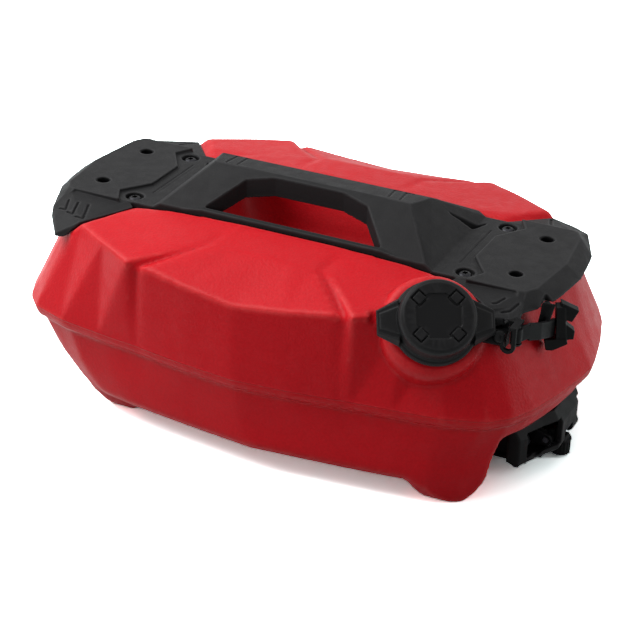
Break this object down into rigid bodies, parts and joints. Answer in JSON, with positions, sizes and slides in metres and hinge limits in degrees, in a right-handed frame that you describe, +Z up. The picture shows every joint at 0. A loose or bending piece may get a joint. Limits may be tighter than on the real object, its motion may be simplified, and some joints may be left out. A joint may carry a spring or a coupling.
{
  "type": "gas can",
  "caption": "Low stackable red gas can with a bolted black carry handle plate, slanted screw-cap filler, tether, hold strap and a spring latch at each end.",
  "frame": {"origin": "on the ground under the middle of the can", "axes": "+X along the can towards the end with the filler cap, -Y the cap side, +Z up"},
  "size_m": [0.494, 0.316, 0.204],
  "materials": {
    "tank": "fine-grained satin",
    "moulding": "fine-grained matt",
    "rubber": "matt",
    "dark_steel": "black oxide",
    "brass": "knurled, plain",
    "steel": "zinc plated"
  },
  "bodies": {
    "can": {"tank": "tank", "carry_plate": "moulding", "plate_screw_1": "dark_steel", "plate_screw_2": "dark_steel", "plate_screw_3": "dark_steel", "plate_screw_4": "dark_steel", "screw_insert_1": "brass", "screw_insert_2": "brass", "screw_insert_3": "brass", "screw_insert_4": "brass", "anchor_bush_1": "steel", "anchor_bush_2": "steel", "anchor_bush_3": "steel", "anchor_bush_4": "steel", "cap_tether": "rubber", "tether_peg": "moulding", "strap_bracket": "moulding", "strap_post": "moulding", "strap_catch": "moulding", "right_latch_base": "moulding", "right_lever_pin": "dark_steel", "right_hook_pin": "dark_steel", "right_lever_spring": "steel", "right_base_screw_1": "dark_steel", "right_base_screw_2": "dark_steel", "left_latch_base": "moulding", "left_lever_pin": "dark_steel", "left_hook_pin": "dark_steel", "left_lever_spring": "steel", "left_base_screw_1": "dark_steel", "left_base_screw_2": "dark_steel"},
    "seal": {"cap_gasket": "rubber"},
    "cap": {"cap_core": "moulding", "cap_shell": "moulding"},
    "strap": {"hold_strap": "rubber", "strap_grip": "rubber"},
    "right_lever": {"right_latch_lever": "moulding"},
    "right_hook": {"right_latch_hook": "steel"},
    "right_knob": {"right_latch_knob": "moulding"},
    "left_lever": {"left_latch_lever": "moulding"},
    "left_hook": {"left_latch_hook": "steel"},
    "left_knob": {"left_latch_knob": "moulding"}
  },
  "joints": [
    {"name": "cap_lift", "type": "slide", "parent": "can", "child": "seal", "axis": [0.3657, -0.6334, 0.682], "range_m": [0, 0.012]},
    {"name": "cap_turn", "type": "hinge", "parent": "seal", "child": "cap", "pos_m": [0.1532, -0.1183, 0.1551], "axis": [0.3657, -0.6334, 0.682], "range_deg": [0, 1080]},
    {"name": "strap_swing", "type": "hinge", "parent": "can", "child": "strap", "pos_m": [0.212, -0.097, 0.16], "axis": [0, 0, -1], "range_deg": [0, 70]},
    {"name": "right_lever_swing", "type": "hinge", "parent": "can", "child": "right_lever", "pos_m": [0.222, 0, 0.024], "axis": [0, 1, 0], "range_deg": [0, 30], "stiffness_Nm_per_rad": 0.05, "springref_deg": -17.19},
    {"name": "right_hook_swing", "type": "hinge", "parent": "can", "child": "right_hook", "pos_m": [0.2, -0.035, 0.033], "axis": [0, 1, 0], "range_deg": [-15, 0]},
    {"name": "right_knob_turn", "type": "hinge", "parent": "can", "child": "right_knob", "pos_m": [0.228, 0, 0.008], "axis": [0, 0, 1], "continuous": true},
    {"name": "left_lever_swing", "type": "hinge", "parent": "can", "child": "left_lever", "pos_m": [-0.222, 0, 0.024], "axis": [0, -1, 0], "range_deg": [0, 30], "stiffness_Nm_per_rad": 0.05, "springref_deg": -17.19},
    {"name": "left_hook_swing", "type": "hinge", "parent": "can", "child": "left_hook", "pos_m": [-0.2, 0.035, 0.033], "axis": [0, -1, 0], "range_deg": [-15, 0]},
    {"name": "left_knob_turn", "type": "hinge", "parent": "can", "child": "left_knob", "pos_m": [-0.228, 0, 0.008], "axis": [0, 0, 1], "continuous": true}
  ],
  "couplings": [
    {"joint": "cap_lift", "follows": "cap_turn", "m_per_rad": 0.00063662},
    {"joint": "right_hook_swing", "follows": "right_lever_swing", "ratio": -0.5},
    {"joint": "left_hook_swing", "follows": "left_lever_swing", "ratio": -0.5}
  ]
}
